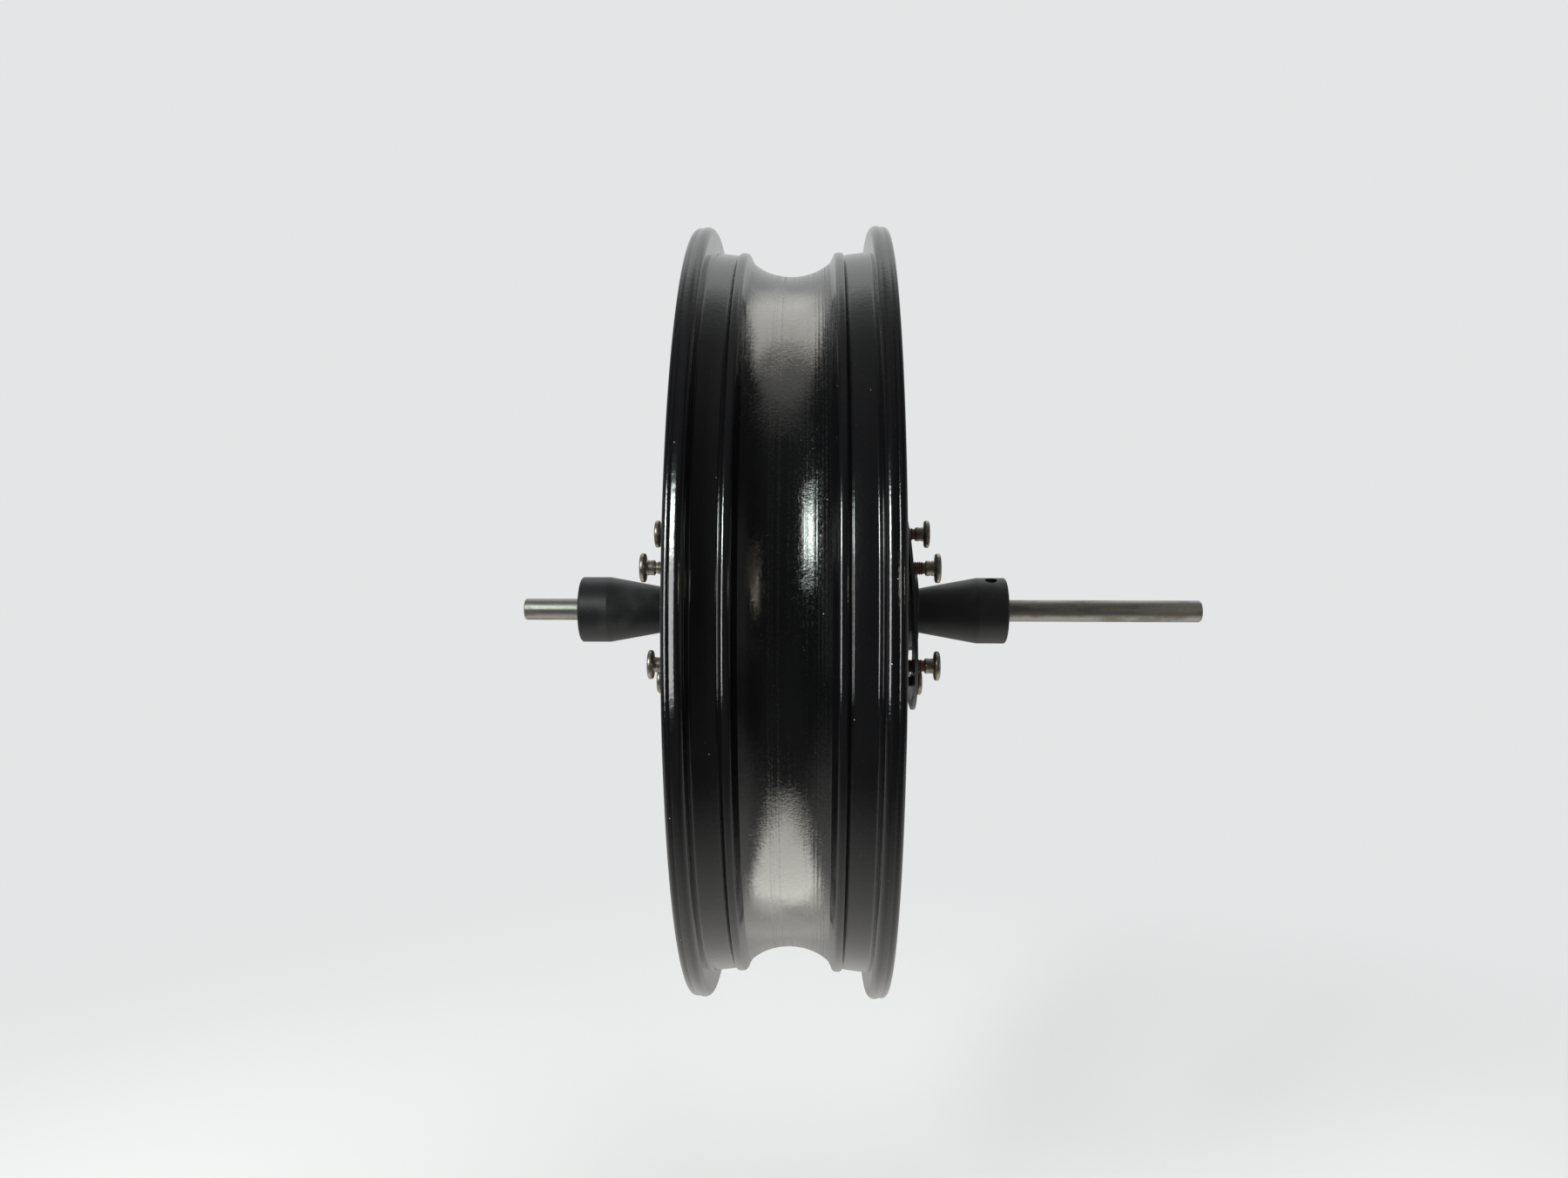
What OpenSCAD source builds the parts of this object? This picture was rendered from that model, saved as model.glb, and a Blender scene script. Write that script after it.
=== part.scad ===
// Front wheel with its hub and bearings, centred on a balancing arbor by two cones.
// The origin is the wheel's centre on the axle, the axle runs along Y, and Z is up.

/* [Rim] */
// Radius of the bead seat where it meets the flange
bead_seat_r = 218.3; // [216:0.1:219]
// Distance between the two flanges
rim_width = 88.9; // [86:0.1:90]
// Width over the outside of both lips
rim_overall_w = 110.6; // [110:0.1:113]
// Radius over the top of the lips
lip_r = 233.1; // [232.5:0.1:234]
// Radius of the drop centre at its deepest
well_r = 204.8; // [203.5:0.1:206]
// Radius of the rim's inner face, where the spokes meet it
rim_inner_r = 199.5; // [198.5:0.1:200.5]
// Radius of the valve hole
valve_hole_r = 5.65; // [4:0.05:6]
// Angle of the valve hole about the axle
valve_angle = 211.3; // [205:0.1:217]

/* [Spokes] */
// Number of twin spokes
spoke_count = 5; // [3:1:6]
// Thickness of an arm at the hub
arm_hub_w = 15; // [13:0.5:16]
// Thickness of an arm at the rim
arm_rim_w = 13; // [10:0.5:14]
// Width of an arm along the axle, at the hub
arm_hub_h = 38; // [34:1:50]
// Width of an arm along the axle, at the rim
arm_rim_h = 24; // [20:1:32]
// Distance of an arm from its pair's centre line, at the hub
arm_hub_offset = 5.5; // [5:0.5:6]
// Distance of an arm from its pair's centre line, at the rim
arm_rim_offset = 37; // [30:0.5:42]

/* [Hub] */
// Outer radius of the hub barrel
barrel_r = 34; // [34:0.5:36]
// Radius of the round collar at each end
collar_r = 25.3; // [24.5:0.1:26.5]
// Distance of the collar's end from the wheel's centre
collar_y = 78; // [77.5:0.1:79]
// Distance of the disc faces from the wheel's centre
disc_face_y = 68.5; // [68:0.1:69]
// Radius of the spigot that centres a brake disc
spigot_r = 41; // [40:0.1:41.3]
// How far the spigot stands out of the disc face
spigot_h = 2.5; // [1.5:0.1:3]
// Radius of the circle of disc bolts
disc_bolt_circle_r = 50; // [49.5:0.1:50.5]
// Angle of the first disc bolt about the axle
first_bolt_angle = 31.3; // [25:0.1:37]
// Outer radius of a disc boss
boss_r = 10.5; // [9:0.1:12]

/* [Disc bolts] */
// Radius of the bolt's head
bolt_head_r = 8.8; // [8:0.1:8.9]
// Thickness of the head
bolt_head_t = 3.3; // [3:0.1:3.6]
// Radius of the plain shoulder under the head
bolt_shoulder_r = 4.55; // [4.3:0.05:4.7]
// Length of the shoulder
bolt_shoulder_len = 5.4; // [5:0.1:5.8]
// Radius over the thread
bolt_thread_r = 4; // [3.8:0.05:4]
// Length from under the head to the tip
bolt_len = 27; // [25:0.5:28]

/* [Sensor ring] */
// Outer radius of the ring
sensor_ring_r = 62.4; // [61:0.1:64]
// Inner radius of the ring
sensor_bore_r = 42; // [41.8:0.1:43]
// Thickness of the ring
sensor_ring_t = 1.8; // [1.5:0.1:1.9]
// Angle at which the ring hangs on the loose bolts
sensor_tilt = 2.8; // [2.5:0.1:3]
// Number of windows that the sensor counts
sensor_windows = 48; // [36:1:60]

/* [Bearings] */
// Radius of the bearing's bore
bearing_bore_r = 12.5; // [12.4:0.05:12.6]
// Outer radius of the bearing
bearing_outer_r = 21; // [20.9:0.05:21.1]
// Width of the bearing
bearing_w = 9; // [8.9:0.1:9.1]
// Distance of the bearing's inner face from the wheel's centre
bearing_y = 62; // [61.5:0.1:62.2]
// Number of balls
ball_count = 13; // [9:1:14]
// Radius of a ball
ball_r = 2.38; // [2.3:0.01:2.4]

/* [Arbor] */
// Radius of the arbor
arbor_r = 6.8; // [6.7:0.05:6.8]
// Distance of the arbor's short end from the wheel's centre
arbor_short_y = 170.4; // [165:0.1:175]
// Distance of the arbor's long end from the wheel's centre
arbor_long_y = 255.2; // [245:0.1:260]
// Largest radius of a centring cone
cone_r = 20.65; // [20.4:0.05:20.9]
// Distance of a cone's back face from the wheel's centre
cone_back_y = 133.65; // [132:0.05:135]
// Length of the cone's cylindrical grip
cone_grip_len = 18.05; // [18:0.05:19]
// Half angle of the cone's taper
cone_half_angle = 10.4; // [10.3:0.05:10.6]
// Distance of the cone's nose from the wheel's centre
cone_nose_y = 58; // [56:0.5:60]
// Radius of a set screw
set_screw_r = 3.7; // [3.5:0.05:4]
// Length of a set screw
set_screw_len = 8; // [6:0.5:8]

/* [Hidden] */
$fn = 240;

// How far each bolt's head stands from the wheel's centre, in the order of the bolts
bolt_head_y_left = [90.7, 88.9, 89, 88, 86.6];
bolt_head_y_right = [88.9, 87.3, 87, 83.3, 89];
bolt_step = 72;

// Clearances
running_gap = 0.05;
cut = 0.5;

// Rim
half_w = rim_width / 2;
half_overall = rim_overall_w / 2;
lip_inner_round = 7.05;
lip_outer_round = 3.8;
lip_land = 1;
lip_under_round = 1.6;
lip_wall = 5.6;
lip_peak_y = half_overall - lip_outer_round;
seat_start_y = 31.5;
seat_drop = 1.1;
hump_y = 27.4;
hump_top_r = 218.2;
hump_round = 2.6;
well_flat_y = 1.5;
well_edge_y = 22;
well_edge_r = 212;
well_round = (pow(well_edge_y, 2) + pow(well_edge_r - well_r, 2)) / (2 * (well_edge_r - well_r));
root_round = 2;
wall_under_seat = 5.9;
wall_under_hump = 8;
inner_flat_y = 19;
inner_shoulder_y = 23.5;
inner_shoulder_r = 205.2;
valve_pad_r = 9;
valve_pad_h = 1.2;

// Hub
barrel_end_y = 44;
flange_y = 56;
hub_bore_r = 18.5;
flange_root_r = 43;
flange_cone_r = 38;
flange_relief = 0.7;
dish_inner_r = 28;
dish_outer_r = 36;
dish_y = 62;
boss_inner_y = 44;
boss_web_r = 40;
boss_web_w = 17;
boss_web_gap = 1;
boss_web_t = 10;
collar_chamfer = 0.8;

// Disc bolts
bolt_neck_r = 3.35;
bolt_neck_len = 1.8;
bolt_edge = 0.6;
bolt_socket_r = 3.46;
bolt_socket_depth = 2.6;

// Sensor ring
sensor_y = 72.5;
sensor_drop = 0.1;
sensor_hole_r = 5;
window_r = 58.3;
window_len = 4.2;
window_w = 3.2;

// Bearings
pitch_r = (bearing_bore_r + bearing_outer_r) / 2;
race_groove_r = 2.45;
inner_shoulder = 15.2;
outer_shoulder = 18.3;
race_chamfer = 0.5;
spacer_r = 15.5;
shield_t = 0.4;
shield_inset = 0.2;
shield_bore_r = 15.5;
cage_inner_r = 15.8;
cage_outer_r = 17.7;
cage_w = 6.2;
cage_pocket_r = 2.5;
ball_mid_y = bearing_y + bearing_w / 2;
bearing_face_y = bearing_y + bearing_w;
seal_gap = 0.3;
seal_w = 6;
seal_wall = 3.2;
seal_face_t = 1.6;
seal_face_r = 15.4;
seal_lip_r = 14.6;
seal_lip_w = 3;

// Arbor
arbor_chamfer = 0.8;
groove_y = 133;
groove_w = 0.9;
groove_depth = 0.25;
cone_bore_r = arbor_r + running_gap;
cone_knee_y = cone_back_y - cone_grip_len;
cone_nose_r = cone_r - (cone_knee_y - cone_nose_y) * tan(cone_half_angle);
cone_edge = 0.8;
screw_y = 124;
screw_angle_right = 69;
screw_angle_left = 118;
screw_tip_r = arbor_r + running_gap;
screw_socket_r = 2.31;
screw_socket_depth = 3.5;
cone_hole_r = set_screw_r + running_gap;

// Points along an arc, from one angle to the other
function arc(centre, r, from, to, steps) =
    [for (i = [0:steps]) let (a = from + (to - from) * i / steps) centre + r * [cos(a), sin(a)]];

// Puts a shape that stands along Z along the axle
module along_axle() rotate([-90, 0, 0]) children();

// Turns a shape on +X to an angle about the axle
module about_axle(angle) rotate([0, -angle, 0]) children();

// A ring or a disc about the axle between two distances from the wheel's centre
module axle_disc(r, from, to) along_axle() translate([0, 0, from]) cylinder(r = r, h = to - from);

// A right side piece, shown on the left side
module left_side() mirror([0, 1, 0]) children();

// Revolves a section about the axle: x is the radius and y is the place along the axle
module axle_turned() along_axle() rotate_extrude() children();

// Half of the rim's section, from the flat of the drop centre over the lip and back inside
rim_half = concat(
    [[well_flat_y, well_r]],
    arc([0, well_r + well_round], well_round, -86, -90 + asin(well_edge_y / well_round), 9),
    [[well_edge_y + 2, hump_top_r - 2.7]],
    arc([hump_y, hump_top_r - hump_round], hump_round, 145, 55, 6),
    [[seat_start_y - 0.8, bead_seat_r - seat_drop - 0.35], [seat_start_y, bead_seat_r - seat_drop]],
    arc([half_w - root_round, bead_seat_r + root_round - 0.1], root_round, -85, 0, 4),
    arc([lip_peak_y, lip_r - lip_inner_round], lip_inner_round, 180, 90, 9),
    arc([lip_peak_y, lip_r - lip_outer_round], lip_outer_round, 80, 0, 6),
    [[half_overall, lip_r - lip_outer_round - lip_land]],
    arc([half_overall - lip_under_round, lip_r - lip_outer_round - lip_land], lip_under_round, -15, -60, 3),
    [[half_w + lip_wall, bead_seat_r + 3.2]],
    arc([half_w + 1, bead_seat_r - wall_under_seat + 4], 4, 0, -80, 5),
    [[seat_start_y + 1, bead_seat_r - wall_under_seat - 1], [hump_y + 0.6, hump_top_r - wall_under_hump]],
    [[inner_shoulder_y, inner_shoulder_r], [inner_flat_y, rim_inner_r]]
);

// The whole section: the right half, then the left half back to the start
module rim_section() {
    last = len(rim_half) - 1;
    polygon(concat(
        [for (i = [0:last]) [rim_half[i][1], rim_half[i][0]]],
        [for (i = [last:-1:0]) [rim_half[i][1], -rim_half[i][0]]]
    ));
}

module rim() color([0.03, 0.03, 0.032])
    difference() {
        union() {
            axle_turned() rim_section();
            about_axle(valve_angle)
                intersection() {
                    translate([rim_inner_r - valve_pad_h, 0, 0])
                        rotate([0, 90, 0])
                            cylinder(r = valve_pad_r, h = valve_pad_h + 2);
                    axle_disc(rim_inner_r + 2, -valve_pad_r, valve_pad_r);
                }
        }
        about_axle(valve_angle)
            translate([rim_inner_r - 2 * valve_pad_h, 0, 0])
                rotate([0, 90, 0])
                    cylinder(r = valve_hole_r, h = lip_r - rim_inner_r);
    }

// One straight tapered arm of a twin spoke, before its ends are trimmed to the hub and the rim
module spoke_arm(side) {
    run = rim_inner_r + 4;
    intersection() {
        along_axle()
            linear_extrude(height = arm_hub_h, center = true)
                polygon([
                    [0, side * (arm_hub_offset - arm_hub_w / 2)],
                    [run, side * (arm_rim_offset - arm_rim_w / 2)],
                    [run, side * (arm_rim_offset + arm_rim_w / 2)],
                    [0, side * (arm_hub_offset + arm_hub_w / 2)]
                ]);
        translate([0, 0, -run])
            linear_extrude(height = 2 * run)
                polygon([
                    [0, -arm_hub_h / 2], [run, -arm_rim_h / 2],
                    [run, arm_rim_h / 2], [0, arm_hub_h / 2]
                ]);
    }
}

module spokes() color([0.04, 0.04, 0.042])
    for (i = [0:spoke_count - 1], side = [-1, 1])
        about_axle(first_bolt_angle + i * 360 / spoke_count)
            difference() {
                intersection() {
                    spoke_arm(side);
                    axle_disc(rim_inner_r, -arm_hub_h, arm_hub_h);
                }
                axle_disc(barrel_r, -arm_hub_h, arm_hub_h);
            }

// The barrel, flange, spigot and collar of one end of the hub
module hub_end() {
    axle_turned()
        polygon([
            [hub_bore_r, 0], [barrel_r, 0], [barrel_r, barrel_end_y], [flange_cone_r, flange_y],
            [flange_root_r, flange_y], [flange_root_r, disc_face_y - flange_relief],
            [spigot_r, disc_face_y - flange_relief],
            [spigot_r, disc_face_y + spigot_h], [dish_outer_r, disc_face_y + spigot_h],
            [dish_outer_r, dish_y], [dish_inner_r, dish_y], [collar_r, dish_y + dish_inner_r - collar_r],
            [collar_r, collar_y - collar_chamfer], [collar_r - collar_chamfer, collar_y],
            [bearing_outer_r, collar_y], [bearing_outer_r, bearing_y], [hub_bore_r, bearing_y]
        ]);
    for (i = [0:4])
        about_axle(first_bolt_angle + i * bolt_step)
            difference() {
                union() {
                    translate([disc_bolt_circle_r, 0, 0]) axle_disc(boss_r, boss_inner_y, disc_face_y);
                    translate([boss_web_r, flange_y + boss_web_gap, -boss_web_w / 2])
                        cube([disc_bolt_circle_r - boss_web_r, boss_web_t, boss_web_w]);
                }
                translate([disc_bolt_circle_r, 0, 0])
                    axle_disc(bolt_thread_r + running_gap, boss_inner_y - cut, disc_face_y + cut);
            }
}

module hub() color([0.045, 0.045, 0.047]) {
    hub_end();
    left_side() hub_end();
}

// One disc bolt on the right side, with its head's outer face at a distance from the wheel's centre
module disc_bolt(index, head_y) color([0.55, 0.53, 0.48])
    about_axle(first_bolt_angle + index * bolt_step)
        translate([disc_bolt_circle_r, head_y, 0])
            along_axle()
                difference() {
                    rotate_extrude()
                        polygon([
                            [0, 0], [bolt_head_r - bolt_edge, 0], [bolt_head_r, -bolt_edge],
                            [bolt_head_r, -bolt_head_t + bolt_edge], [bolt_head_r - bolt_edge, -bolt_head_t],
                            [bolt_shoulder_r, -bolt_head_t],
                            [bolt_shoulder_r, -bolt_head_t - bolt_shoulder_len],
                            [bolt_neck_r, -bolt_head_t - bolt_shoulder_len - bolt_edge],
                            [bolt_neck_r, -bolt_head_t - bolt_shoulder_len - bolt_neck_len],
                            [bolt_thread_r, -bolt_head_t - bolt_shoulder_len - bolt_neck_len - bolt_edge],
                            [bolt_thread_r, -bolt_head_t - bolt_len + bolt_edge],
                            [bolt_thread_r - bolt_edge, -bolt_head_t - bolt_len], [0, -bolt_head_t - bolt_len]
                        ]);
                    translate([0, 0, -bolt_socket_depth])
                        cylinder(r = bolt_socket_r, h = bolt_socket_depth + cut, $fn = 6);
                }

module sensor_ring() color([0.06, 0.06, 0.065])
    translate([0, sensor_y, -sensor_drop])
        rotate([sensor_tilt, 0, 0])
            difference() {
                axle_disc(sensor_ring_r, -sensor_ring_t / 2, sensor_ring_t / 2);
                axle_disc(sensor_bore_r, -sensor_ring_t, sensor_ring_t);
                for (i = [0:4])
                    about_axle(first_bolt_angle + i * bolt_step)
                        translate([disc_bolt_circle_r, 0, 0])
                            axle_disc(sensor_hole_r, -sensor_ring_t, sensor_ring_t);
                for (i = [0:sensor_windows - 1])
                    about_axle(i * 360 / sensor_windows)
                        translate([window_r, 0, 0])
                            cube([window_len, 2 * sensor_ring_t, window_w], center = true);
            }

module bearing_inner_race() color([0.72, 0.73, 0.75])
    difference() {
        axle_turned()
            polygon([
                [bearing_bore_r, bearing_y], [inner_shoulder, bearing_y],
                [inner_shoulder, bearing_face_y], [bearing_bore_r + race_chamfer, bearing_face_y],
                [bearing_bore_r, bearing_face_y - race_chamfer]
            ]);
        axle_turned() translate([pitch_r, ball_mid_y]) circle(r = race_groove_r);
    }

module bearing_outer_race() color([0.7, 0.71, 0.73])
    difference() {
        axle_turned()
            polygon([
                [outer_shoulder, bearing_y], [bearing_outer_r, bearing_y],
                [bearing_outer_r, bearing_face_y], [outer_shoulder, bearing_face_y]
            ]);
        axle_turned() translate([pitch_r, ball_mid_y]) circle(r = race_groove_r);
    }

module bearing_shields() color([0.1, 0.1, 0.1])
    for (face = [bearing_y + shield_inset, bearing_face_y - shield_inset - shield_t])
        axle_turned() translate([shield_bore_r, face]) square([outer_shoulder - shield_bore_r, shield_t]);

module bearing_balls() color([0.85, 0.86, 0.88])
    for (i = [0:ball_count - 1])
        about_axle(i * 360 / ball_count)
            translate([pitch_r, ball_mid_y, 0])
                sphere(r = ball_r);

module bearing_cage() color([0.75, 0.62, 0.35])
    difference() {
        axle_turned()
            translate([cage_inner_r, ball_mid_y - cage_w / 2])
                square([cage_outer_r - cage_inner_r, cage_w]);
        for (i = [0:ball_count - 1])
            about_axle(i * 360 / ball_count)
                translate([pitch_r, ball_mid_y, 0])
                    rotate([0, 90, 0])
                        cylinder(r = cage_pocket_r, h = 2 * cage_pocket_r, center = true);
    }

module bearing_spacer() color([0.6, 0.6, 0.62])
    axle_turned() translate([bearing_bore_r, -bearing_y]) square([spacer_r - bearing_bore_r, 2 * bearing_y]);

module dust_seal() color([0.05, 0.05, 0.05])
    axle_turned()
        translate([0, bearing_face_y + seal_gap])
            polygon([
                [bearing_outer_r, 0], [bearing_outer_r, seal_w], [seal_lip_r, seal_w],
                [seal_lip_r, seal_w - seal_lip_w], [seal_face_r, seal_w - seal_lip_w],
                [seal_face_r, seal_w - seal_face_t], [bearing_outer_r - seal_wall, seal_w - seal_face_t],
                [bearing_outer_r - seal_wall, 0]
            ]);

module arbor_shaft() color([0.7, 0.7, 0.68])
    axle_turned()
        polygon(concat(
            [[0, -arbor_short_y], [arbor_r - arbor_chamfer, -arbor_short_y]],
            [[arbor_r, arbor_chamfer - arbor_short_y]],
            [[arbor_r, -groove_y - groove_w], [arbor_r - groove_depth, -groove_y - groove_w]],
            [[arbor_r - groove_depth, -groove_y], [arbor_r, -groove_y]],
            [[arbor_r, groove_y], [arbor_r - groove_depth, groove_y]],
            [[arbor_r - groove_depth, groove_y + groove_w], [arbor_r, groove_y + groove_w]],
            [[arbor_r, arbor_long_y - arbor_chamfer]],
            [[arbor_r - arbor_chamfer, arbor_long_y], [0, arbor_long_y]]
        ));

module centring_cone(screw_angle) color([0.08, 0.08, 0.085])
    difference() {
        axle_turned()
            polygon([
                [cone_bore_r, cone_nose_y], [cone_nose_r, cone_nose_y], [cone_r, cone_knee_y],
                [cone_r, cone_back_y - cone_edge], [cone_r - cone_edge, cone_back_y],
                [cone_bore_r, cone_back_y]
            ]);
        about_axle(screw_angle)
            translate([0, screw_y, 0])
                rotate([0, 90, 0])
                    cylinder(r = cone_hole_r, h = cone_r + cut);
    }

module set_screw(screw_angle) color([0.15, 0.15, 0.15])
    about_axle(screw_angle)
        translate([screw_tip_r, screw_y, 0])
            rotate([0, 90, 0])
                difference() {
                    cylinder(r = set_screw_r, h = set_screw_len);
                    translate([0, 0, set_screw_len - screw_socket_depth])
                        cylinder(r = screw_socket_r, h = screw_socket_depth + cut, $fn = 6);
                }

arbor_shaft();
left_side() bearing_inner_race();  // bearing_inner_race_left
bearing_inner_race();  // bearing_inner_race_right
bearing_spacer();
rim();
spokes();
hub();
left_side() bearing_outer_race();  // bearing_outer_race_left
bearing_outer_race();  // bearing_outer_race_right
left_side() bearing_shields();  // bearing_shields_left
bearing_shields();  // bearing_shields_right
left_side() dust_seal();  // dust_seal_left
dust_seal();  // dust_seal_right
sensor_ring();
left_side() bearing_balls();  // bearing_balls_left
bearing_balls();  // bearing_balls_right
left_side() bearing_cage();  // bearing_cage_left
bearing_cage();  // bearing_cage_right
left_side() centring_cone(screw_angle_left);  // centring_cone_left
centring_cone(screw_angle_right);  // centring_cone_right
left_side() set_screw(screw_angle_left);  // set_screw_left
set_screw(screw_angle_right);  // set_screw_right
left_side() disc_bolt(0, bolt_head_y_left[0]);  // disc_bolt_left_1
left_side() disc_bolt(1, bolt_head_y_left[1]);  // disc_bolt_left_2
left_side() disc_bolt(2, bolt_head_y_left[2]);  // disc_bolt_left_3
left_side() disc_bolt(3, bolt_head_y_left[3]);  // disc_bolt_left_4
left_side() disc_bolt(4, bolt_head_y_left[4]);  // disc_bolt_left_5
disc_bolt(0, bolt_head_y_right[0]);  // disc_bolt_right_1
disc_bolt(1, bolt_head_y_right[1]);  // disc_bolt_right_2
disc_bolt(2, bolt_head_y_right[2]);  // disc_bolt_right_3
disc_bolt(3, bolt_head_y_right[3]);  // disc_bolt_right_4
disc_bolt(4, bolt_head_y_right[4]);  // disc_bolt_right_5
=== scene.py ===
"""A bare front wheel with its hub and bearings, centred on a balancing arbor by two cones."""

import math

import bmesh
import bpy
from mathutils import Matrix, Vector


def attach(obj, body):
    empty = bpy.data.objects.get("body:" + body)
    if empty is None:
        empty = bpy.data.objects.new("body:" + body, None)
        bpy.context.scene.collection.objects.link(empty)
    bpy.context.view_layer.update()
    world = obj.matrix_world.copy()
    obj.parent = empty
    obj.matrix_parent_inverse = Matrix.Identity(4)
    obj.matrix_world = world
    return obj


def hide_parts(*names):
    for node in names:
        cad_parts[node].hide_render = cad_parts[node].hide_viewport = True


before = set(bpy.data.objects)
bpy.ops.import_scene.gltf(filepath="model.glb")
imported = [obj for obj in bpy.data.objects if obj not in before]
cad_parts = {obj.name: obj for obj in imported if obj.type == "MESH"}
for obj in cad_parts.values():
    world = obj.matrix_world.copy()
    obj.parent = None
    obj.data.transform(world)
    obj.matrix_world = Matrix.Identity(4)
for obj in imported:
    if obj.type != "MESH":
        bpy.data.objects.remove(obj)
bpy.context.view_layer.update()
MM = 0.001
scene = bpy.context.scene


# ---------------------------------------------------------------- materials


class Link:
    """One socket of a material, so that shader maths reads as an expression."""

    def __init__(self, finish, socket):
        self.finish = finish
        self.socket = socket

    def maths(self, operation, first, second=0.0):
        values = {0: first, 1: second}
        return self.finish.node("ShaderNodeMath", {"operation": operation}, values)

    def __add__(self, other):
        return self.maths("ADD", self, other)

    def __sub__(self, other):
        return self.maths("SUBTRACT", self, other)

    def __rsub__(self, other):
        return self.maths("SUBTRACT", other, self)

    def __mul__(self, other):
        return self.maths("MULTIPLY", self, other)

    def __truediv__(self, other):
        return self.maths("DIVIDE", self, other)

    def __pow__(self, other):
        return self.maths("POWER", self, other)

    def __gt__(self, other):
        return self.maths("GREATER_THAN", self, other)

    def __lt__(self, other):
        return self.maths("LESS_THAN", self, other)

    def __abs__(self):
        return self.maths("ABSOLUTE", self)

    __radd__ = __add__
    __rmul__ = __mul__


class Finish:
    """A material, or the world's light, made from nodes."""

    def __init__(self, name, owner=None, shader="Principled BSDF"):
        self.made = owner or bpy.data.materials.new(name)
        self.made.use_nodes = True
        self.tree = self.made.node_tree
        self.shader = self.tree.nodes.get(shader)

    def node(self, kind, settings=None, values=None, out=0):
        made = self.tree.nodes.new(kind)
        for key, value in (settings or {}).items():
            if key == "stops":
                for _ in range(len(value) - 2):
                    made.color_ramp.elements.new(0.5)
                for stop, (place, colour) in zip(made.color_ramp.elements, value):
                    stop.position = place
                    stop.color = (*colour, 1.0) if len(colour) == 3 else colour
            else:
                setattr(made, key, value)
        for key, value in (values or {}).items():
            self.feed(made.inputs[key], value)
        return Link(self, made.outputs[out])

    def feed(self, socket, value):
        if isinstance(value, Link):
            self.tree.links.new(value.socket, socket)
        else:
            socket.default_value = value

    def set(self, **values):
        for key, value in values.items():
            self.feed(self.shader.inputs[key.replace("_", " ")], value)

    def place(self):
        return self.node("ShaderNodeTexCoord", out="Object")

    def parts(self, vector):
        made = self.node("ShaderNodeSeparateXYZ", values={0: vector})
        return [Link(self, made.socket.node.outputs[i]) for i in range(3)]

    def noise(self, scale, detail=3.0, roughness=0.5, vector=None, stretch=None, out=0):
        vector = vector or self.place()
        if stretch:
            vector = self.node("ShaderNodeMapping", values={"Vector": vector, "Scale": stretch})
        values = {"Vector": vector, "Scale": scale, "Detail": detail, "Roughness": roughness}
        return self.node("ShaderNodeTexNoise", values=values, out=out)

    def lines(self, along, scale, detail=2.0):
        """Noise that changes along one value only, as turning marks do."""
        values = {"W": along * scale, "Scale": 1.0, "Detail": detail}
        return self.node("ShaderNodeTexNoise", {"noise_dimensions": "1D"}, values)

    def between(self, value, low, high, to_low=0.0, to_high=1.0):
        values = {0: value, 1: low, 2: high, 3: to_low, 4: to_high}
        return self.node("ShaderNodeMapRange", {"interpolation_type": "SMOOTHSTEP"}, values)

    def mix(self, share, first, second):
        first, second = [c if isinstance(c, Link) else (*c, 1.0) for c in (first, second)]
        return self.node("ShaderNodeMix", {"data_type": "RGBA"}, {0: share, 6: first, 7: second}, out=2)

    def bump(self, height, strength, distance, under=None):
        values = {"Strength": strength, "Distance": distance, "Height": height}
        if under:
            values["Normal"] = under
        return self.node("ShaderNodeBump", values=values)


def black_paint(name, shade=(0.0028, 0.0028, 0.0032)):
    """Gloss black paint on a cast and turned wheel: orange peel, turning marks under it, dust and chips."""
    f = Finish(name)
    x, y, z = f.parts(f.place())
    radius = (x * x + z * z) ** 0.5
    well = f.between(abs(y), 0.0235, 0.0205) * f.between(radius, 0.2015, 0.2035)
    outside = f.between(radius, 0.2, 0.2015)
    peel = f.noise(420.0, 2.0, 0.45)
    grit = f.noise(820.0, 3.0, 0.75)
    marks = f.lines(y, 950.0, 2.0)
    clusters = f.between(f.lines(y + 0.31, 90.0, 1.0), 0.47, 0.6)
    grain = f.between(f.noise(46.0, 3.0, 0.55), 0.4, 0.66)
    dust = f.between(f.noise(1500.0, 2.0, 0.6), 0.72, 0.76) * f.between(f.noise(17.0, 2.0), 0.42, 0.6)
    chips = f.between(f.noise(640.0, 1.0, 0.5), 0.825, 0.84)
    colour = f.mix(dust * 0.25, shade, (0.16, 0.155, 0.14))
    colour = f.mix(chips * outside, colour, (0.5, 0.49, 0.46))
    first = f.bump(peel, 0.35, 0.00022)
    second = f.bump(marks * clusters + marks * 0.25, well, 0.00009, first)
    third = f.bump(grit, well * (grain * 0.6 + 0.4), 0.00016, second)
    speckle = f.between(f.noise(760.0, 1.0, 0.5), 0.5, 0.6)
    combed = f.between(f.lines(y + 0.17, 620.0, 1.0), 0.48, 0.6) * (clusters * 0.8 + 0.2)
    rough = 0.1 + f.noise(30.0, 4.0) * 0.07 + dust * 0.3
    rough = rough - well * (0.05 - speckle * 0.09 - combed * 0.16)
    f.set(Base_Color=colour, Roughness=rough, Normal=third, IOR=1.52, Specular_IOR_Level=0.5)
    return f.made


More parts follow.
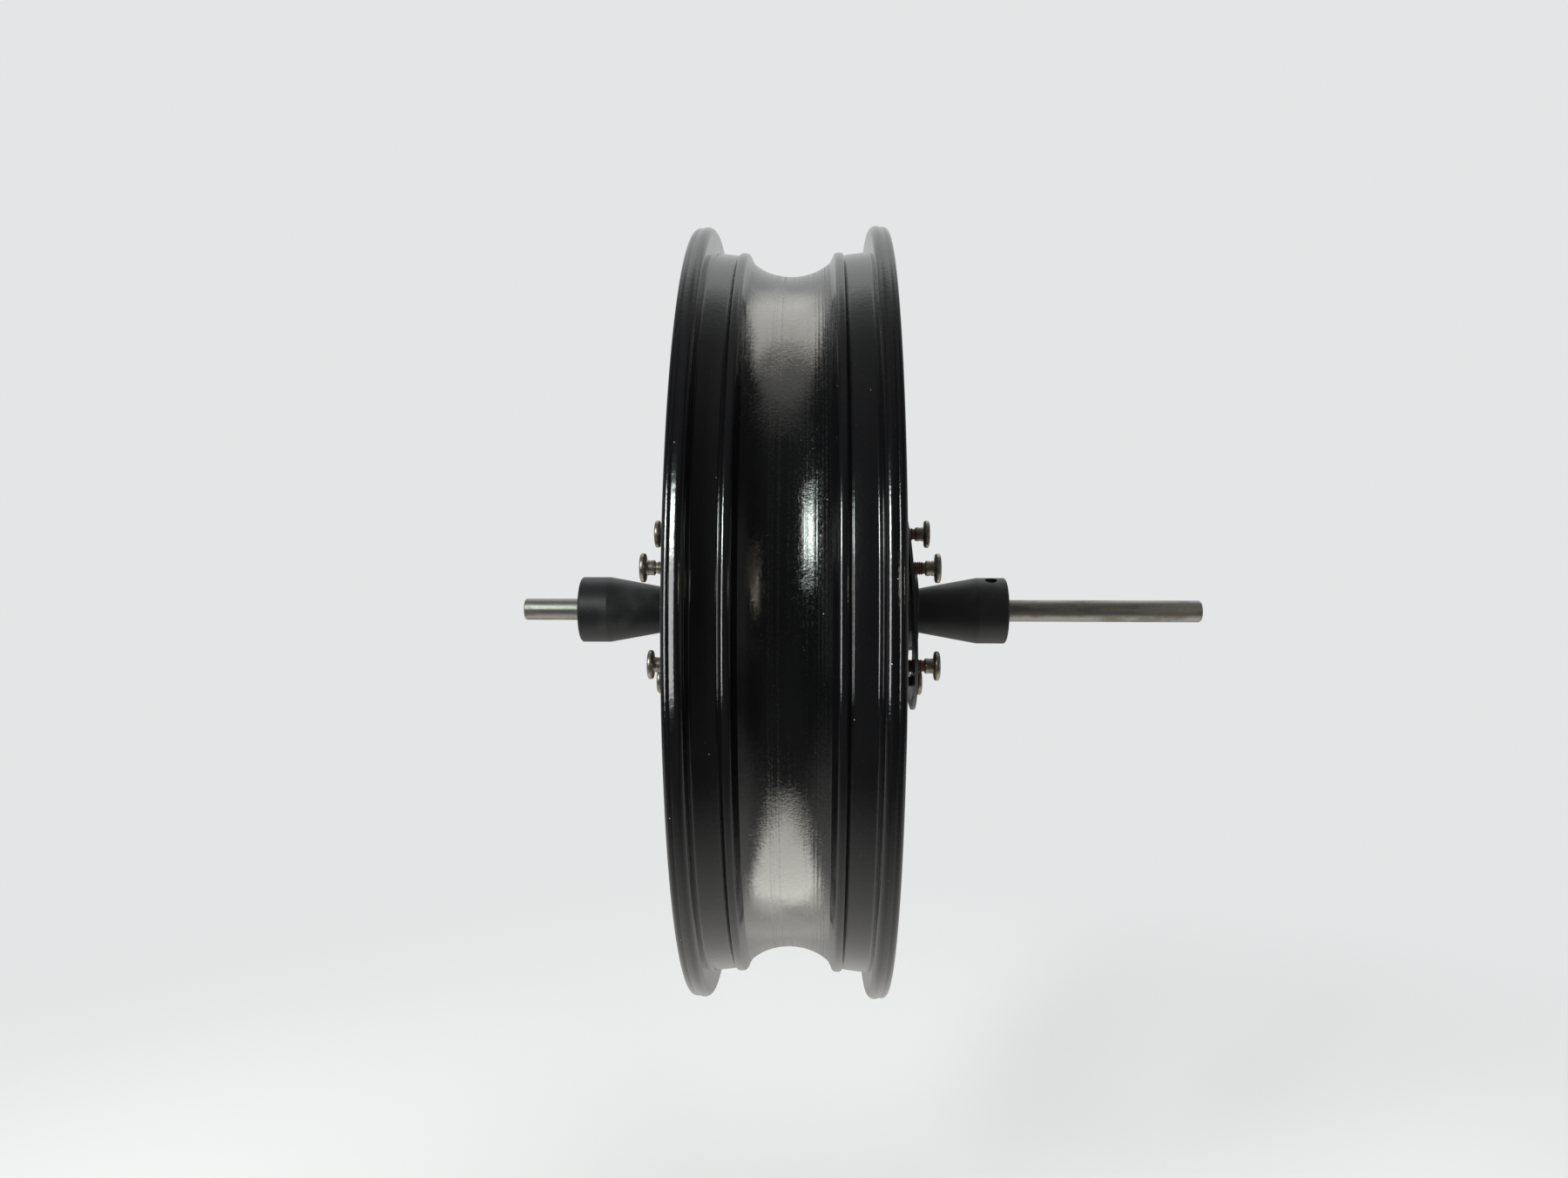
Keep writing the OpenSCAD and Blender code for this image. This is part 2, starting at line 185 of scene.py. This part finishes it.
def cast_paint(name, shade=(0.006, 0.006, 0.0065)):
    """The same paint over the rougher cast skin of the spokes and the hub."""
    f = Finish(name)
    skin = f.noise(240.0, 4.0, 0.55)
    fine = f.noise(1200.0, 2.0, 0.5)
    smudge = f.noise(14.0, 4.0, 0.6)
    dust = f.between(f.noise(800.0, 2.0, 0.6), 0.72, 0.75) * f.between(smudge, 0.45, 0.6)
    colour = f.mix(dust * 0.5 + f.between(smudge, 0.5, 0.8) * 0.05, shade, (0.15, 0.145, 0.135))
    under = f.bump(skin, 0.5, 0.0005)
    normal = f.bump(fine, 0.25, 0.00006, under)
    f.set(Base_Color=colour, Roughness=0.14 + smudge * 0.16 + dust * 0.3, Normal=normal, IOR=1.52)
    return f.made


def steel(name, shade, stain, rough, marks=2600.0, stains=60.0, share=0.5, axis=1, metallic=1.0):
    """Bare steel that was turned or ground along one axis, with stains and a changing gloss."""
    f = Finish(name)
    along = f.parts(f.place())[axis]
    turned = f.lines(along, marks, 3.0)
    stretch = [1.0, 1.0, 1.0]
    stretch[axis] = 0.45
    patch = f.noise(stains, 5.0, 0.62, stretch=stretch)
    specks = f.between(f.noise(900.0, 3.0, 0.6), 0.62, 0.7)
    worn = f.between(patch, 0.46, 0.62) * share
    colour = f.mix(worn, shade, stain)
    colour = f.mix(specks * 0.45, colour, [c * 0.25 for c in stain])
    gloss = rough + patch * 0.2 + specks * 0.2 + turned * 0.06
    under = f.bump(turned, 0.35, 0.00003)
    normal = f.bump(f.noise(700.0, 3.0), 0.12, 0.00008, under)
    f.set(Base_Color=colour, Metallic=metallic - worn * 0.25, Roughness=gloss, Normal=normal)
    return f.made


def dark(name, shade, worn_shade, rough, scale=55.0, marks=1500.0, lift=0.3, metallic=0.0, ior=1.5):
    """A dark turned or moulded finish: black oxide, rubber, thin black paint."""
    f = Finish(name)
    y = f.parts(f.place())[1]
    cloud = f.noise(scale, 5.0, 0.6)
    fine = f.noise(1400.0, 3.0, 0.6)
    turned = f.lines(y, marks, 2.0)
    rub = f.between(cloud, 0.5, 0.74) * lift
    specks = f.between(f.noise(620.0, 2.0, 0.6), 0.7, 0.74)
    colour = f.mix(rub, shade, worn_shade)
    colour = f.mix(specks * 0.35, colour, [min(1.0, c * 2.2) for c in worn_shade])
    under = f.bump(turned, 0.3, 0.00004)
    normal = f.bump(fine, 0.25, 0.00006, under)
    gloss = rough + cloud * 0.14 + fine * 0.06
    f.set(Base_Color=colour, Roughness=gloss, Normal=normal, Metallic=metallic, IOR=ior)
    return f.made


paint = black_paint("gloss_black_paint")
casting = cast_paint("cast_black_paint")
shaft_steel = steel("ground_steel", (0.4, 0.385, 0.355), (0.19, 0.165, 0.135), 0.3, 3000.0, 75.0, 0.75)
bolt_steel = steel("worn_bolt_steel", (0.44, 0.4, 0.34), (0.17, 0.135, 0.095), 0.24, 2500.0, 260.0, 0.75)
thread_lock = dark("dried_thread_lock", (0.045, 0.016, 0.013), (0.13, 0.06, 0.045), 0.42, 400.0, 900.0, 0.5)
cone_black = dark(
    "cone_black_oxide", (0.009, 0.0092, 0.0098), (0.036, 0.037, 0.038), 0.31, 38.0, 1800.0, 0.55
)
screw_black = dark("screw_black_oxide", (0.014, 0.014, 0.015), (0.05, 0.05, 0.05), 0.34, 200.0)
ring_black = dark("sensor_ring_black", (0.01, 0.01, 0.011), (0.04, 0.04, 0.042), 0.13, 60.0, 1200.0, 0.25)
seal_rubber = dark("seal_rubber", (0.012, 0.012, 0.012), (0.03, 0.03, 0.03), 0.52, 80.0, 1500.0, 0.3)
race_steel = steel("bearing_steel", (0.6, 0.6, 0.61), (0.4, 0.38, 0.34), 0.14, 4200.0, 90.0, 0.3)
spacer_alu = steel("spacer_aluminium", (0.62, 0.62, 0.64), (0.42, 0.41, 0.4), 0.26, 2400.0, 70.0, 0.4)
shield_steel = steel("shield_steel", (0.42, 0.41, 0.4), (0.25, 0.22, 0.18), 0.26, 3000.0, 120.0, 0.5)
ball_steel = steel("ball_steel", (0.75, 0.76, 0.78), (0.55, 0.54, 0.52), 0.06, 5000.0, 200.0, 0.2)
cage_brass = steel("cage_brass", (0.62, 0.46, 0.2), (0.36, 0.24, 0.1), 0.24, 3000.0, 150.0, 0.5)

NODE_FINISH = {
    "arbor_shaft": shaft_steel,
    "bearing_spacer": spacer_alu,
    "sensor_ring": ring_black,
    "bearing_balls": ball_steel,
    "bearing_cage": cage_brass,
    "bearing_shields": shield_steel,
    "bearing_inner_race": race_steel,
    "bearing_outer_race": race_steel,
    "dust_seal": seal_rubber,
    "centring_cone": cone_black,
    "set_screw": screw_black,
}
for name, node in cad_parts.items():
    for start, finish in NODE_FINISH.items():
        if name.startswith(start):
            for slot in node.material_slots:
                slot.material = finish


# ---------------------------------------------------------------- making pieces


def axle_matrix(degrees=0.0):
    """Turns about the axle, from +X towards +Z."""
    return Matrix.Rotation(-math.radians(degrees), 4, "Y")


def section_verts(bm, corners):
    """Places a section in the plane of the axle. Corners are (y, r, round, segments), in millimetres."""
    return [bm.verts.new((r * MM, y * MM, 0)) for y, r, _, _ in corners]


def round_corners(bm, verts, corners):
    """Rounds each corner of a section that asks for it."""
    for vert, (_, _, offset, segments) in zip(verts, corners):
        if offset:
            bmesh.ops.bevel(
                bm, geom=[vert], offset=offset * MM, offset_type="OFFSET", affect="VERTICES",
                segments=segments, profile=0.5, material=-1,
            )


def spin_all(bm, steps):
    """Turns everything that is there once about the axle."""
    bmesh.ops.spin(
        bm, geom=bm.verts[:] + bm.edges[:], cent=(0, 0, 0), axis=(0, 1, 0), dvec=(0, 0, 0),
        angle=math.tau, steps=steps, use_merge=True,
    )


def spin_section(bm, corners, steps):
    """Revolves a closed section about the axle."""
    verts = section_verts(bm, corners)
    bm.faces.new(verts)
    round_corners(bm, verts, corners)
    bmesh.ops.delete(bm, geom=bm.faces[:], context="FACES_ONLY")
    spin_all(bm, steps)
    bmesh.ops.recalc_face_normals(bm, faces=bm.faces[:])


def rounded(bm, edges, offset, segments=3):
    bmesh.ops.bevel(
        bm, geom=edges, offset=offset * MM, offset_type="OFFSET", affect="EDGES",
        segments=segments, profile=0.5, material=-1,
    )


def add_copy(bm, source, matrix):
    """Adds a moved copy of one mesh to another, with its faces turned back out after a mirror."""
    part = source.copy()
    part.transform(matrix)
    if matrix.determinant() < 0:
        bmesh.ops.reverse_faces(part, faces=part.faces[:])
    scratch = bpy.data.meshes.new("scratch")
    part.to_mesh(scratch)
    bm.from_mesh(scratch)
    bpy.data.meshes.remove(scratch)
    part.free()


def piece(name, bm, body, nodes, materials, smooth=32.0):
    """A finished piece: its place is in its mesh, it rides on a body and stands for its CAD nodes."""
    mesh = bpy.data.meshes.new(name)
    bm.to_mesh(mesh)
    bm.free()
    made = bpy.data.objects.new(name, mesh)
    scene.collection.objects.link(made)
    for material in materials:
        mesh.materials.append(material)
    mesh.shade_smooth()
    mesh.set_sharp_from_angle(angle=math.radians(smooth))
    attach(made, body)
    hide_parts(*nodes)
    return made


# ---------------------------------------------------------------- rim

LIP_TOP = 233.1
RIM_STEPS = 300
right_rim = [
    (22.0, 212.0, 0.6, 2),
    (23.9, 215.4, 0.8, 2),
    (24.9, 218.3, 1.6, 5),
    (29.1, 218.5, 1.1, 4),
    (30.5, 216.9, 0.25, 2),
    (31.0, 216.6, 0.2, 2),
    (31.6, 217.1, 0.3, 2),
    (40.9, 218.15, 0.0, 1),
    (44.45, 218.3, 1.9, 6),
    (44.45, 233.0, 4.2, 8),
    (48.7, LIP_TOP, 0.5, 3),
    (51.1, 232.55, 0.5, 3),
    (51.5, 232.35, 0.2, 2),
    (52.0, 232.6, 0.5, 3),
    (55.3, 232.4, 2.6, 7),
    (55.3, 227.6, 0.7, 3),
    (52.6, 226.2, 1.6, 4),
    (50.1, 221.5, 2.0, 4),
    (46.6, 212.9, 3.2, 6),
    (33.0, 211.2, 2.0, 3),
    (28.0, 210.2, 1.6, 3),
    (23.5, 205.2, 2.0, 3),
    (19.0, 199.5, 2.2, 3),
]


def rim_corners():
    left = [(-y, r, o, s) for y, r, o, s in right_rim]
    return [(0.0, 195.25, 25.6, 22)] + right_rim + left[::-1]


bm = bmesh.new()
spin_section(bm, rim_corners(), RIM_STEPS)
rim = piece("rim_casting", bm, "wheel", ["rim"], [paint], 28.0)

bm = bmesh.new()
skin_corners = [
    (0.0, 195.6, 25.6, 22), (22.15, 212.25, 0.0, 1), (22.3, 211.6, 0.0, 1),
    (0.0, 194.8, 25.6, 14), (-22.3, 211.6, 0.0, 1), (-22.15, 212.25, 0.0, 1),
]
spin_section(bm, skin_corners, RIM_STEPS)
skin = piece("drop_centre_paint", bm, "wheel", ["rim"], [paint], 28.0)


# ---------------------------------------------------------------- spokes

FIRST = 31.3
ARM_END_R = 201.2
ARM_STATIONS = [
    (31.5, 13.5, 44.0), (35.5, 10.6, 42.0), (41.0, 8.3, 38.5), (50.0, 7.4, 36.0), (75.0, 7.1, 33.5),
    (110.0, 6.8, 30.5), (150.0, 6.6, 27.5), (180.0, 6.6, 25.5), (190.0, 7.4, 26.5), (196.5, 9.6, 29.5),
    (200.2, 12.6, 33.0),
]


def arm():
    """One arm of a twin spoke, lofted from hub to rim: rounded long edges and a shallow pocket."""
    made = bmesh.new()
    r, half, wide = ARM_STATIONS[0]
    corners = [(-1, -1), (1, -1), (1, 1), (-1, 1)]
    ring = [made.verts.new((r * MM, b * wide / 2 * MM, a * half * MM)) for a, b in corners]
    face = made.faces.new(ring)
    spine = lambda r: 5.5 + 31.5 * r / 203.5
    bmesh.ops.translate(made, verts=ring, vec=(0, 0, spine(r) * MM))
    start, first = r, face
    for r, half, wide in ARM_STATIONS[1:]:
        grown = bmesh.ops.extrude_face_region(made, geom=[face])
        if face is not first:
            bmesh.ops.delete(made, geom=[face], context="FACES_ONLY")
        face = [g for g in grown["geom"] if isinstance(g, bmesh.types.BMFace)][0]
        centre = Vector((start * MM, 0, spine(start) * MM))
        now = [v.co - centre for v in face.verts]
        old_half = max(abs(c.z) for c in now)
        old_wide = max(abs(c.y) for c in now)
        size = (1, wide / 2 * MM / old_wide, half * MM / old_half)
        bmesh.ops.scale(made, verts=face.verts[:], vec=size, space=Matrix.Translation(-centre))
        step = Vector(((r - start) * MM, 0, (spine(r) - spine(start)) * MM))
        bmesh.ops.translate(made, verts=face.verts[:], vec=step)
        start = r
    for vert in made.verts:
        reach = math.hypot(vert.co.x, vert.co.z)
        if reach > ARM_END_R * MM:
            inward = ARM_END_R * MM / reach
            vert.co *= Vector((inward, 1.0, inward))
    bmesh.ops.recalc_face_normals(made, faces=made.faces[:])
    long_edges = [
        e for e in made.edges
        if abs((e.verts[1].co - e.verts[0].co).normalized().x) > 0.45 and e.calc_face_angle(0) > 1.0
    ]
    rounded(made, long_edges, 2.3, 4)
    for side in (-1, 1):
        made.normal_update()
        group = [
            f for f in made.faces
            if f.normal.y * side > 0.99 and 0.048 < f.calc_center_median().x < 0.186
        ]
        bmesh.ops.inset_region(made, faces=group, thickness=1.6 * MM, depth=0.0, use_even_offset=True)
        bmesh.ops.inset_region(made, faces=group, thickness=1.0 * MM, depth=-2.0 * MM, use_even_offset=True)
    return made


single = arm()
pair = bmesh.new()
add_copy(pair, single, Matrix.Identity(4))
add_copy(pair, single, Matrix.Scale(-1, 4, (0, 0, 1)))
bm = bmesh.new()
for i in range(5):
    add_copy(bm, pair, axle_matrix(FIRST + 72 * i))
piece("spoke_castings", bm, "wheel", ["spokes"], [casting], 35.0)
pair.free()
single.free()


# ---------------------------------------------------------------- hub

right_hub = [
    (22.0, 34.0, 2.5, 4),
    (26.0, 33.2, 2.0, 3),
    (44.0, 33.6, 4.0, 4),
    (55.5, 37.8, 1.6, 4),
    (56.2, 43.0, 0.9, 3),
    (67.8, 43.0, 0.6, 3),
    (67.8, 41.0, 0.25, 1),
    (71.0, 41.0, 0.6, 3),
    (71.0, 36.0, 0.6, 3),
    (62.0, 35.6, 2.0, 4),
    (62.0, 28.4, 2.4, 4),
    (64.7, 25.3, 0.8, 3),
    (78.0, 25.3, 0.8, 3),
    (78.0, 21.0, 0.5, 2),
    (62.0, 21.0, 0.2, 1),
    (62.0, 18.5, 0.4, 2),
]
bm = bmesh.new()
left = [(-y, r, o, s) for y, r, o, s in right_hub]
spin_section(bm, right_hub + left[::-1], 144)

boss = bmesh.new()
spin_section(boss, [(44, 4.05, 0.3, 1), (44, 10.5, 1.6, 4), (68.5, 10.5, 0.6, 3), (68.5, 4.05, 0.5, 2)], 40)
bmesh.ops.translate(boss, verts=boss.verts[:], vec=(50 * MM, 0, 0))
web = bmesh.new()
bmesh.ops.create_cube(web, size=1.0)
bmesh.ops.scale(web, verts=web.verts[:], vec=(12.4 * MM, 9.4 * MM, 17.4 * MM))
bmesh.ops.translate(web, verts=web.verts[:], vec=(39.2 * MM, 61.6 * MM, 0))
inner = [v for v in web.verts if v.co.x < 0.04]
bmesh.ops.scale(web, verts=inner, vec=(1, 1, 1.45))
low = [v for v in inner if v.co.y < 0.06]
bmesh.ops.translate(web, verts=low, vec=(0, -9 * MM, 0))
rounded(web, web.edges[:], 1.4, 3)
for i in range(5):
    for side in (1, -1):
        turn = axle_matrix(FIRST + 72 * i) @ Matrix.Scale(side, 4, (0, 1, 0))
        add_copy(bm, boss, turn)
        add_copy(bm, web, turn)
boss.free()
web.free()
piece("hub_casting", bm, "wheel", ["hub"], [casting], 30.0)


# ---------------------------------------------------------------- disc bolts

# How far along the axle each head's outer face stands, in millimetres.
HEADS = {"left": (90.7, 88.9, 89.0, 88.0, 86.6), "right": (88.9, 87.3, 87.0, 83.3, 89.0)}
BOLT_CIRCLE_R = 50
BOLT_STEPS = 48
SOCKET_R = 3.46
SOCKET_DEPTH = 2.6
THREAD_START = 9.6
THREAD_PITCH = 1.25


def bolt_corners():
    """The bolt's section from the socket's rim over the head, the shoulder and the thread to the tip."""
    corners = [(0.0, 4.35, 0.0, 1), (0.0, 7.6, 0.5, 2), (-0.7, 8.8, 0.55, 3), (-2.7, 8.8, 0.5, 3)]
    corners += [(-3.3, 8.0, 0.2, 1), (-3.3, 5.4, 0.0, 1), (-3.7, 4.55, 0.25, 2), (-5.2, 4.55, 0.0, 1)]
    corners += [(-5.45, 4.3, 0.0, 1), (-6.3, 4.3, 0.0, 1), (-6.6, 4.55, 0.0, 1), (-8.7, 4.55, 0.25, 2)]
    corners += [(-9.3, 3.35, 0.2, 2), (-10.4, 3.35, 0.0, 1)]
    y = -10.7
    while y > -29.4:
        corners += [(y, 3.4, 0, 1), (y - 0.42, 4.0, 0, 1), (y - 0.62, 4.0, 0, 1), (y - 1.04, 3.4, 0, 1)]
        y -= THREAD_PITCH
    corners += [(-30.3, 3.1, 0.0, 1), (-30.3, 0.9, 0.0, 1)]
    return corners


def bolt_mesh(with_lock):
    made = bmesh.new()
    corners = bolt_corners()
    verts = section_verts(made, corners)
    for ends in zip(verts, verts[1:]):
        made.edges.new(ends)
    round_corners(made, verts, corners)
    spin_all(made, BOLT_STEPS)
    top = [e for e in made.edges if e.is_boundary and abs(e.verts[0].co.y) < 1e-5]
    tip = [e for e in made.edges if e.is_boundary and e.verts[0].co.y < -0.03]
    bmesh.ops.contextual_create(made, geom=tip)
    six = bmesh.ops.create_circle(made, cap_ends=False, radius=SOCKET_R * MM, segments=6)
    turn = Matrix.Rotation(math.radians(90), 4, "X")
    bmesh.ops.transform(made, matrix=turn, verts=six["verts"])
    hexagon = list({e for v in six["verts"] for e in v.link_edges})
    bmesh.ops.subdivide_edges(made, edges=hexagon, cuts=7)
    rim_edges = [e for e in made.edges if not e.link_faces and abs(e.verts[0].co.y) < 1e-5]
    bmesh.ops.bridge_loops(made, edges=top + rim_edges)
    walls = bmesh.ops.extrude_edge_only(made, edges=rim_edges)
    floor = [g for g in walls["geom"] if isinstance(g, bmesh.types.BMVert)]
    bmesh.ops.translate(made, verts=floor, vec=(0, -SOCKET_DEPTH * MM, 0))
    bmesh.ops.contextual_create(made, geom=list({e for v in floor for e in v.link_edges if e.is_boundary}))
    bmesh.ops.recalc_face_normals(made, faces=made.faces[:])
    for f in made.faces:
        f.material_index = int(with_lock and f.calc_center_median().y < -THREAD_START * MM)
    return made


for side, heads in HEADS.items():
    sign = 1 if side == "right" else -1
    for i, head in enumerate(heads):
        node = f"disc_bolt_{side}_{i + 1}"
        bm = bmesh.new()
        source = bolt_mesh(side == "right")
        place = Matrix.Translation((BOLT_CIRCLE_R * MM, head * MM, 0)) @ Matrix.Rotation(0.7 * i, 4, "Y")
        add_copy(bm, source, Matrix.Scale(sign, 4, (0, 1, 0)) @ axle_matrix(FIRST + 72 * i) @ place)
        source.free()
        piece(f"{node}_worn", bm, node, [node], [bolt_steel, thread_lock], 34.0)


# ---------------------------------------------------------------- light, floor and camera


def stage_plane(name, size, place, finish):
    bm = bmesh.new()
    bmesh.ops.create_grid(bm, x_segments=1, y_segments=1, size=0.5)
    matrix = Matrix.Translation(place) @ Matrix.Diagonal((*size, 1.0, 1.0))
    bmesh.ops.transform(bm, matrix=matrix, verts=bm.verts[:])
    mesh = bpy.data.meshes.new(name)
    bm.to_mesh(mesh)
    bm.free()
    made = bpy.data.objects.new(name, mesh)
    scene.collection.objects.link(made)
    mesh.materials.append(finish)
    return made


def glow(name, strength_of, colour, see_through):
    """An emitting finish whose strength follows the card's own place. See-through adds to what is behind."""
    f = Finish(name)
    f.tree.nodes.remove(f.shader)
    x, y, z = f.parts(f.place())
    out = f.tree.nodes["Material Output"]
    light = f.node("ShaderNodeEmission", values={"Color": (*colour, 1.0), "Strength": strength_of(f, x, y)})
    if see_through:
        clear = f.node("ShaderNodeBsdfTransparent")
        light = f.node("ShaderNodeAddShader", values={0: light, 1: clear})
    f.feed(out.inputs["Surface"], light)
    return f.made


BACKDROP = (0.778, 0.785, 0.79)
floor_finish = Finish("pale_floor")
floor_finish.set(Base_Color=(0.8, 0.8, 0.8, 1.0), Roughness=0.8)
px, py, _ = floor_finish.parts(floor_finish.place())
far = floor_finish.between((px * px + py * py) ** 0.5, 0.45, 1.3)
plain = floor_finish.node("ShaderNodeEmission", values={"Color": (*BACKDROP, 1.0), "Strength": 1.0})
lit = Link(floor_finish, floor_finish.shader.outputs[0])
blend = floor_finish.node("ShaderNodeMixShader", values={0: far, 1: lit, 2: plain})
floor_finish.feed(floor_finish.tree.nodes["Material Output"].inputs["Surface"], blend)
FLOOR_Z = -0.45
floor = stage_plane("floor", (60.0, 60.0), (0, 0, FLOOR_Z), floor_finish.made)
floor.visible_glossy = False


def table_light(f, x, y):
    """The table that the lower rim mirrors: palest under the wheel, and fading in front of it."""
    return f.between(x, 0.55, 0.05, 0.08, 0.85) * f.between(x, -0.6, -0.1, 0.55, 1.0)


def ceiling_light(f, x, y):
    """A bright ceiling panel with a dimmer round end towards the front."""
    panel = f.between(x, 0.06, 0.075, 1.0, 0.0) * f.between(x, -0.6, -0.54)
    panel = panel * f.between(abs(y - 0.03), 0.52, 0.47) * f.between(x, -0.57, 0.07, 1.5, 3.7)
    reach = ((x - 0.07) ** 2.0 + (y - 0.02) ** 2.0) ** 0.5
    dome = f.between(reach, 0.62, 0.34) * (x > 0.068) * 0.95
    return panel + dome


def table_glare(f, x, y):
    """The brightest part of the table top, round at the front, with a duller strip behind it."""
    reach = (((x - 0.034) / 0.336) ** 2.0 + (y / 0.165) ** 2.0) ** 0.5
    dome = f.between(reach, 1.12, 0.84) * (x > 0.034) * f.between(x, 0.03, 0.25, 5.4, 6.4)
    strip = (x < 0.034) * f.between(x, -0.19, -0.14) * f.between(abs(y), 0.22, 0.17) * 0.7
    return dome + strip


def light_only(made, lit):
    """Keeps the light of one lamp or card to one piece."""
    group = bpy.data.collections.new(made.name + "_lit")
    group.objects.link(lit)
    made.light_linking.receiver_collection = group


def card(name, size, place, strength_of, colour, lit=None):
    """A card that shows in reflections only, and only in one piece if that is given."""
    made = stage_plane(name, size, place, glow(name + "_glow", strength_of, colour, lit is not None))
    made.visible_camera = False
    made.visible_diffuse = False
    made.visible_transmission = False
    made.visible_volume_scatter = False
    made.visible_shadow = False
    if lit:
        light_only(made, lit)
    return made


warm = (1.0, 0.985, 0.9)
card("table_card", (1.8, 2.4), (-0.3, 0, FLOOR_Z), table_light, (1, 0.99, 0.96))
card("ceiling_card", (1.4, 1.6), (0, 0, 1.0), ceiling_light, warm, skin)
card("table_glare_card", (0.8, 0.6), (0.1, 0, FLOOR_Z + 0.004), table_glare, warm, skin)


def area_light(name, place, target, size, power, colour=(1, 1, 1), glossy=True, lit=None):
    data = bpy.data.lights.new(name, "AREA")
    data.shape = "RECTANGLE"
    data.size, data.size_y = size
    data.energy = power
    data.color = colour
    made = bpy.data.objects.new(name, data)
    made.location = place
    made.rotation_mode = "QUATERNION"
    made.rotation_quaternion = (Vector(target) - Vector(place)).to_track_quat("-Z", "Y")
    made.visible_glossy = glossy
    made.visible_camera = False
    scene.collection.objects.link(made)
    if lit:
        light_only(made, lit)
    return made


def from_wheel(azimuth, elevation, distance):
    """A point seen from the wheel: azimuth 0 is straight ahead on +X, and positive turns to +Y."""
    a, e = math.radians(azimuth), math.radians(elevation)
    return distance * Vector((math.cos(e) * math.cos(a), math.cos(e) * math.sin(a), math.sin(e)))


area_light("window", from_wheel(-35, 22, 2.4), (0, 0, 0), (0.5, 0.62), 34, (0.9, 1.0, 0.95))
area_light("window_low", from_wheel(-35, 2, 2.4), (0, 0, 0), (0.8, 2.0), 50, (0.97, 0.97, 1.0), True, rim)
area_light("small_lamp", from_wheel(38, 7, 2.4), (0, 0, 0), (0.2, 0.24), 1.5, (1.0, 0.93, 0.75))
area_light("overhead", (0.2, 0, 1.9), (0, 0, 0), (2.4, 2.4), 34, (1, 1, 1), False)
area_light("front_fill", (2.2, 0.4, 0.7), (0, 0, 0), (1.8, 1.8), 10, (1, 1, 1), False)
area_light("back_fill", (-2.2, 0.2, 0.9), (0, 0, 0), (1.8, 1.8), 16, (1, 1, 1), False)

world = bpy.data.worlds.new("studio")
scene.world = world
w = Finish("studio", world, "Background")
x, y, z = w.parts(w.node("ShaderNodeTexCoord", out="Generated"))
# The room's light by its angle from straight ahead, over the wheel (positive) or under it, in degrees.
SKY = [
    (-180, 0.75), (-150, 0.5), (-90, 0.3), (-50, 0.12), (0, 0.035), (50, 0.09),
    (90, 0.26), (105, 0.55), (119, 1.5), (140, 1.05), (180, 0.75),
]
SKY_TOP = 2.0
turn = z.maths("ARCTAN2", z, x) * (1.0 / math.pi) * 0.5 + 0.5
sky = w.node(
    "ShaderNodeValToRGB",
    {"stops": [((a + 180) / 360, (v / SKY_TOP,) * 3) for a, v in SKY]},
    {0: turn},
)
side_band = w.between(abs(y), 0.75, 0.95) * w.between(z, 0.5, 0.2) * w.between(z, -0.3, -0.15)
middle = w.between(abs(y), 0.62, 0.3)
around = sky * SKY_TOP * (middle * 0.8 + 0.2) + side_band * 0.3 + 0.012
seen = w.node("ShaderNodeLightPath", out="Is Camera Ray")
strength = seen * (1.0 - around) + around
w.set(Color=(*BACKDROP, 1.0), Strength=strength)

cam_data = bpy.data.cameras.new("camera")
camera = bpy.data.objects.new("camera", cam_data)
scene.collection.objects.link(camera)
scene.camera = camera
cam_data.sensor_width = 36.0
cam_data.lens = 27.85
cam_data.shift_x = 0.01144
camera.location = (0.7696, 0.0128, 0.0144)
yaw, pitch, roll = math.radians(-2.20), math.radians(0.08), math.radians(-0.16)
ahead, right, down = Vector((-1, 0, 0)), Vector((0, 1, 0)), Vector((0, 0, -1))
ahead, right = (
    math.cos(yaw) * ahead + math.sin(yaw) * right,
    math.cos(yaw) * right - math.sin(yaw) * ahead,
)
ahead, down = (
    math.cos(pitch) * ahead + math.sin(pitch) * down,
    math.cos(pitch) * down - math.sin(pitch) * ahead,
)
right, down = (
    math.cos(roll) * right + math.sin(roll) * down,
    math.cos(roll) * down - math.sin(roll) * right,
)
camera.rotation_mode = "QUATERNION"
camera.rotation_quaternion = Matrix((right, -down, -ahead)).transposed().to_quaternion()
scene.view_settings.view_transform = "Standard"
